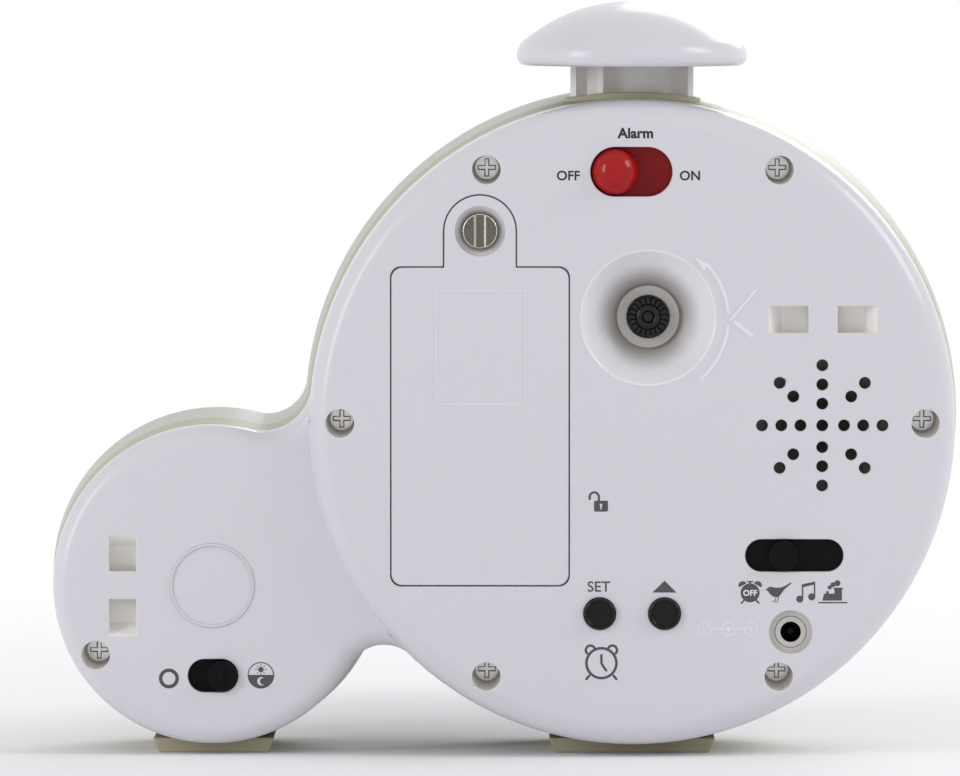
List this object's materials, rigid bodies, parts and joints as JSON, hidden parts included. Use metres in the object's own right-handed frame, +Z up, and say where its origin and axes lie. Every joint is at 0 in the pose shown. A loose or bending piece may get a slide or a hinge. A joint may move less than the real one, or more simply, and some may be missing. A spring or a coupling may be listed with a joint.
{
  "type": "kids alarm clock with night light",
  "caption": "Two-lobed desk alarm clock: analogue dial in the large lobe, night light window and display in the small one, mushroom snooze button on top.",
  "frame": {"origin": "middle of the clock's footprint, on the table under its bounding box", "axes": "+Z up; the dial and light window face -Y, the rear cover with its controls faces +Y; the small lobe lies at +X"},
  "size_m": [0.185, 0.0489, 0.1516],
  "materials": {
    "shell_white": "glossy white ABS",
    "shell_cream": "satin cream olive ABS",
    "shell_pale": "satin off-white ABS",
    "foot_rubber": "matte cream rubber",
    "screw_steel": "zinc plated steel",
    "spring_steel": "nickel plated spring steel",
    "brass": "turned brass",
    "battery_wrap": "plain green cell sleeve",
    "red_plastic": "glossy red ABS",
    "black_plastic": "fine textured black ABS",
    "board_green": "solder mask on glass epoxy",
    "movement_plastic": "natural acetal",
    "motor_steel": "soft iron sheet",
    "copper_wire": "enamelled copper winding",
    "hand_blue": "satin dark blue lacquer",
    "hand_red": "satin red lacquer",
    "dial_white": "printed white styrene",
    "clear_lens": "clear moulded acrylic lens",
    "warm_diffuser": "translucent warm white acrylic",
    "reflector_white": "glossy white polystyrene",
    "led_yellow": "epoxy of a warm white lamp",
    "display_glass": "reflective liquid crystal glass",
    "speaker_paper": "black paper cone",
    "dark_metal": "black pressed steel"
  },
  "bodies": {
    "case": {"rear_cover": "shell_white", "band_housing": "shell_cream", "front_housing": "shell_pale", "rubber_feet": "foot_rubber", "case_screws": "screw_steel", "door_screw_insert": "brass", "batteries": "battery_wrap", "battery_springs": "spring_steel", "battery_contacts": "spring_steel", "button_guide": "shell_cream", "button_return_spring": "spring_steel", "snooze_switch": "black_plastic", "alarm_switch": "motor_steel", "alarm_board": "board_green", "sound_switch": "motor_steel", "tact_switches": "black_plastic", "main_board": "board_green", "dc_jack": "black_plastic", "board_screws": "screw_steel", "light_switch": "motor_steel", "light_board": "board_green", "speaker_frame": "dark_metal", "speaker_cone": "speaker_paper", "speaker_magnet": "motor_steel", "movement_case": "movement_plastic", "movement_plate": "movement_plastic", "movement_nut": "brass", "movement_coil": "copper_wire", "movement_stator": "motor_steel", "dial": "dial_white", "chapter_ring": "dial_white", "clock_lens": "clear_lens", "light_diffuser": "warm_diffuser", "light_reflector": "reflector_white", "led_board": "board_green", "leds": "led_yellow", "display_module": "display_glass", "display_holder": "movement_plastic"},
    "battery_door_panel": {"battery_door": "shell_white"},
    "coin_screw": {"battery_door_screw": "screw_steel"},
    "mushroom": {"mushroom_button": "shell_white"},
    "alarm_slide_knob": {"alarm_slider": "red_plastic"},
    "sound_slide_knob": {"sound_slider": "black_plastic"},
    "light_slide_knob": {"light_slider": "black_plastic"},
    "set_push": {"set_button": "black_plastic"},
    "up_push": {"up_button": "black_plastic"},
    "knob_arbor": {"time_setting_knob": "black_plastic"},
    "minute_arbor": {"cannon_pinion": "movement_plastic", "minute_hand": "hand_blue"},
    "motion_arbor": {"motion_wheel": "movement_plastic"},
    "hour_pipe": {"hour_wheel": "movement_plastic", "hour_hand": "hand_blue"},
    "second_arbor": {"second_wheel": "movement_plastic", "second_hand": "hand_red"},
    "step_arbor": {"step_wheel": "movement_plastic"},
    "rotor_arbor": {"motor_rotor": "dark_metal"}
  },
  "joints": [
    {"name": "battery_door_open", "type": "hinge", "parent": "case", "child": "battery_door_panel", "pos_m": [0.00475, 0.02185, 0.03475], "axis": [-1, 0, 0], "range_deg": [0, 95]},
    {"name": "coin_screw_turn", "type": "hinge", "parent": "battery_door_panel", "child": "coin_screw", "pos_m": [0.00475, 0.02185, 0.10575], "axis": [0, 1, 0], "continuous": true},
    {"name": "mushroom_press", "type": "slide", "parent": "case", "child": "mushroom", "axis": [0, 0, -1], "range_m": [0, 0.003], "stiffness_N_per_m": 300, "springref_m": -0.003, "deforming": ["button_return_spring"]},
    {"name": "alarm_switch_slide", "type": "slide", "parent": "case", "child": "alarm_slide_knob", "axis": [-1, 0, 0], "range_m": [0, 0.0066]},
    {"name": "sound_switch_slide", "type": "slide", "parent": "case", "child": "sound_slide_knob", "axis": [-1, 0, 0], "range_m": [-0.0044, 0.0088]},
    {"name": "light_switch_slide", "type": "slide", "parent": "case", "child": "light_slide_knob", "axis": [1, 0, 0], "range_m": [0, 0.0038]},
    {"name": "set_press", "type": "slide", "parent": "case", "child": "set_push", "axis": [0, -1, 0], "range_m": [0, 0.0008], "stiffness_N_per_m": 600, "springref_m": -0.0006},
    {"name": "up_press", "type": "slide", "parent": "case", "child": "up_push", "axis": [0, -1, 0], "range_m": [0, 0.0008], "stiffness_N_per_m": 600, "springref_m": -0.0006},
    {"name": "minute_spin", "type": "hinge", "parent": "case", "child": "minute_arbor", "pos_m": [-0.02585, -0.01815, 0.06715], "axis": [0, 1, 0], "continuous": true},
    {"name": "hour_spin", "type": "hinge", "parent": "case", "child": "hour_pipe", "pos_m": [-0.02585, -0.01715, 0.06715], "axis": [0, 1, 0], "continuous": true},
    {"name": "motion_spin", "type": "hinge", "parent": "case", "child": "motion_arbor", "pos_m": [-0.02729, -0.00815, 0.07705], "axis": [0, 1, 0], "continuous": true},
    {"name": "time_knob_spin", "type": "hinge", "parent": "case", "child": "knob_arbor", "pos_m": [-0.02895, 0.02185, 0.08843], "axis": [0, 1, 0], "continuous": true},
    {"name": "second_spin", "type": "hinge", "parent": "case", "child": "second_arbor", "pos_m": [-0.02585, -0.01915, 0.06715], "axis": [0, 1, 0], "continuous": true},
    {"name": "step_spin", "type": "hinge", "parent": "case", "child": "step_arbor", "pos_m": [-0.03585, -0.00615, 0.06351], "axis": [0, 1, 0], "continuous": true},
    {"name": "rotor_spin", "type": "hinge", "parent": "case", "child": "rotor_arbor", "pos_m": [-0.04442, -0.00615, 0.06039], "axis": [0, 1, 0], "continuous": true}
  ],
  "couplings": [
    {"joint": "hour_spin", "follows": "minute_spin", "ratio": 0.083333},
    {"joint": "motion_spin", "follows": "minute_spin", "ratio": -0.33333},
    {"joint": "time_knob_spin", "follows": "minute_spin", "ratio": 0.625},
    {"joint": "step_spin", "follows": "second_spin", "ratio": -6},
    {"joint": "rotor_spin", "follows": "second_spin", "ratio": 30}
  ]
}
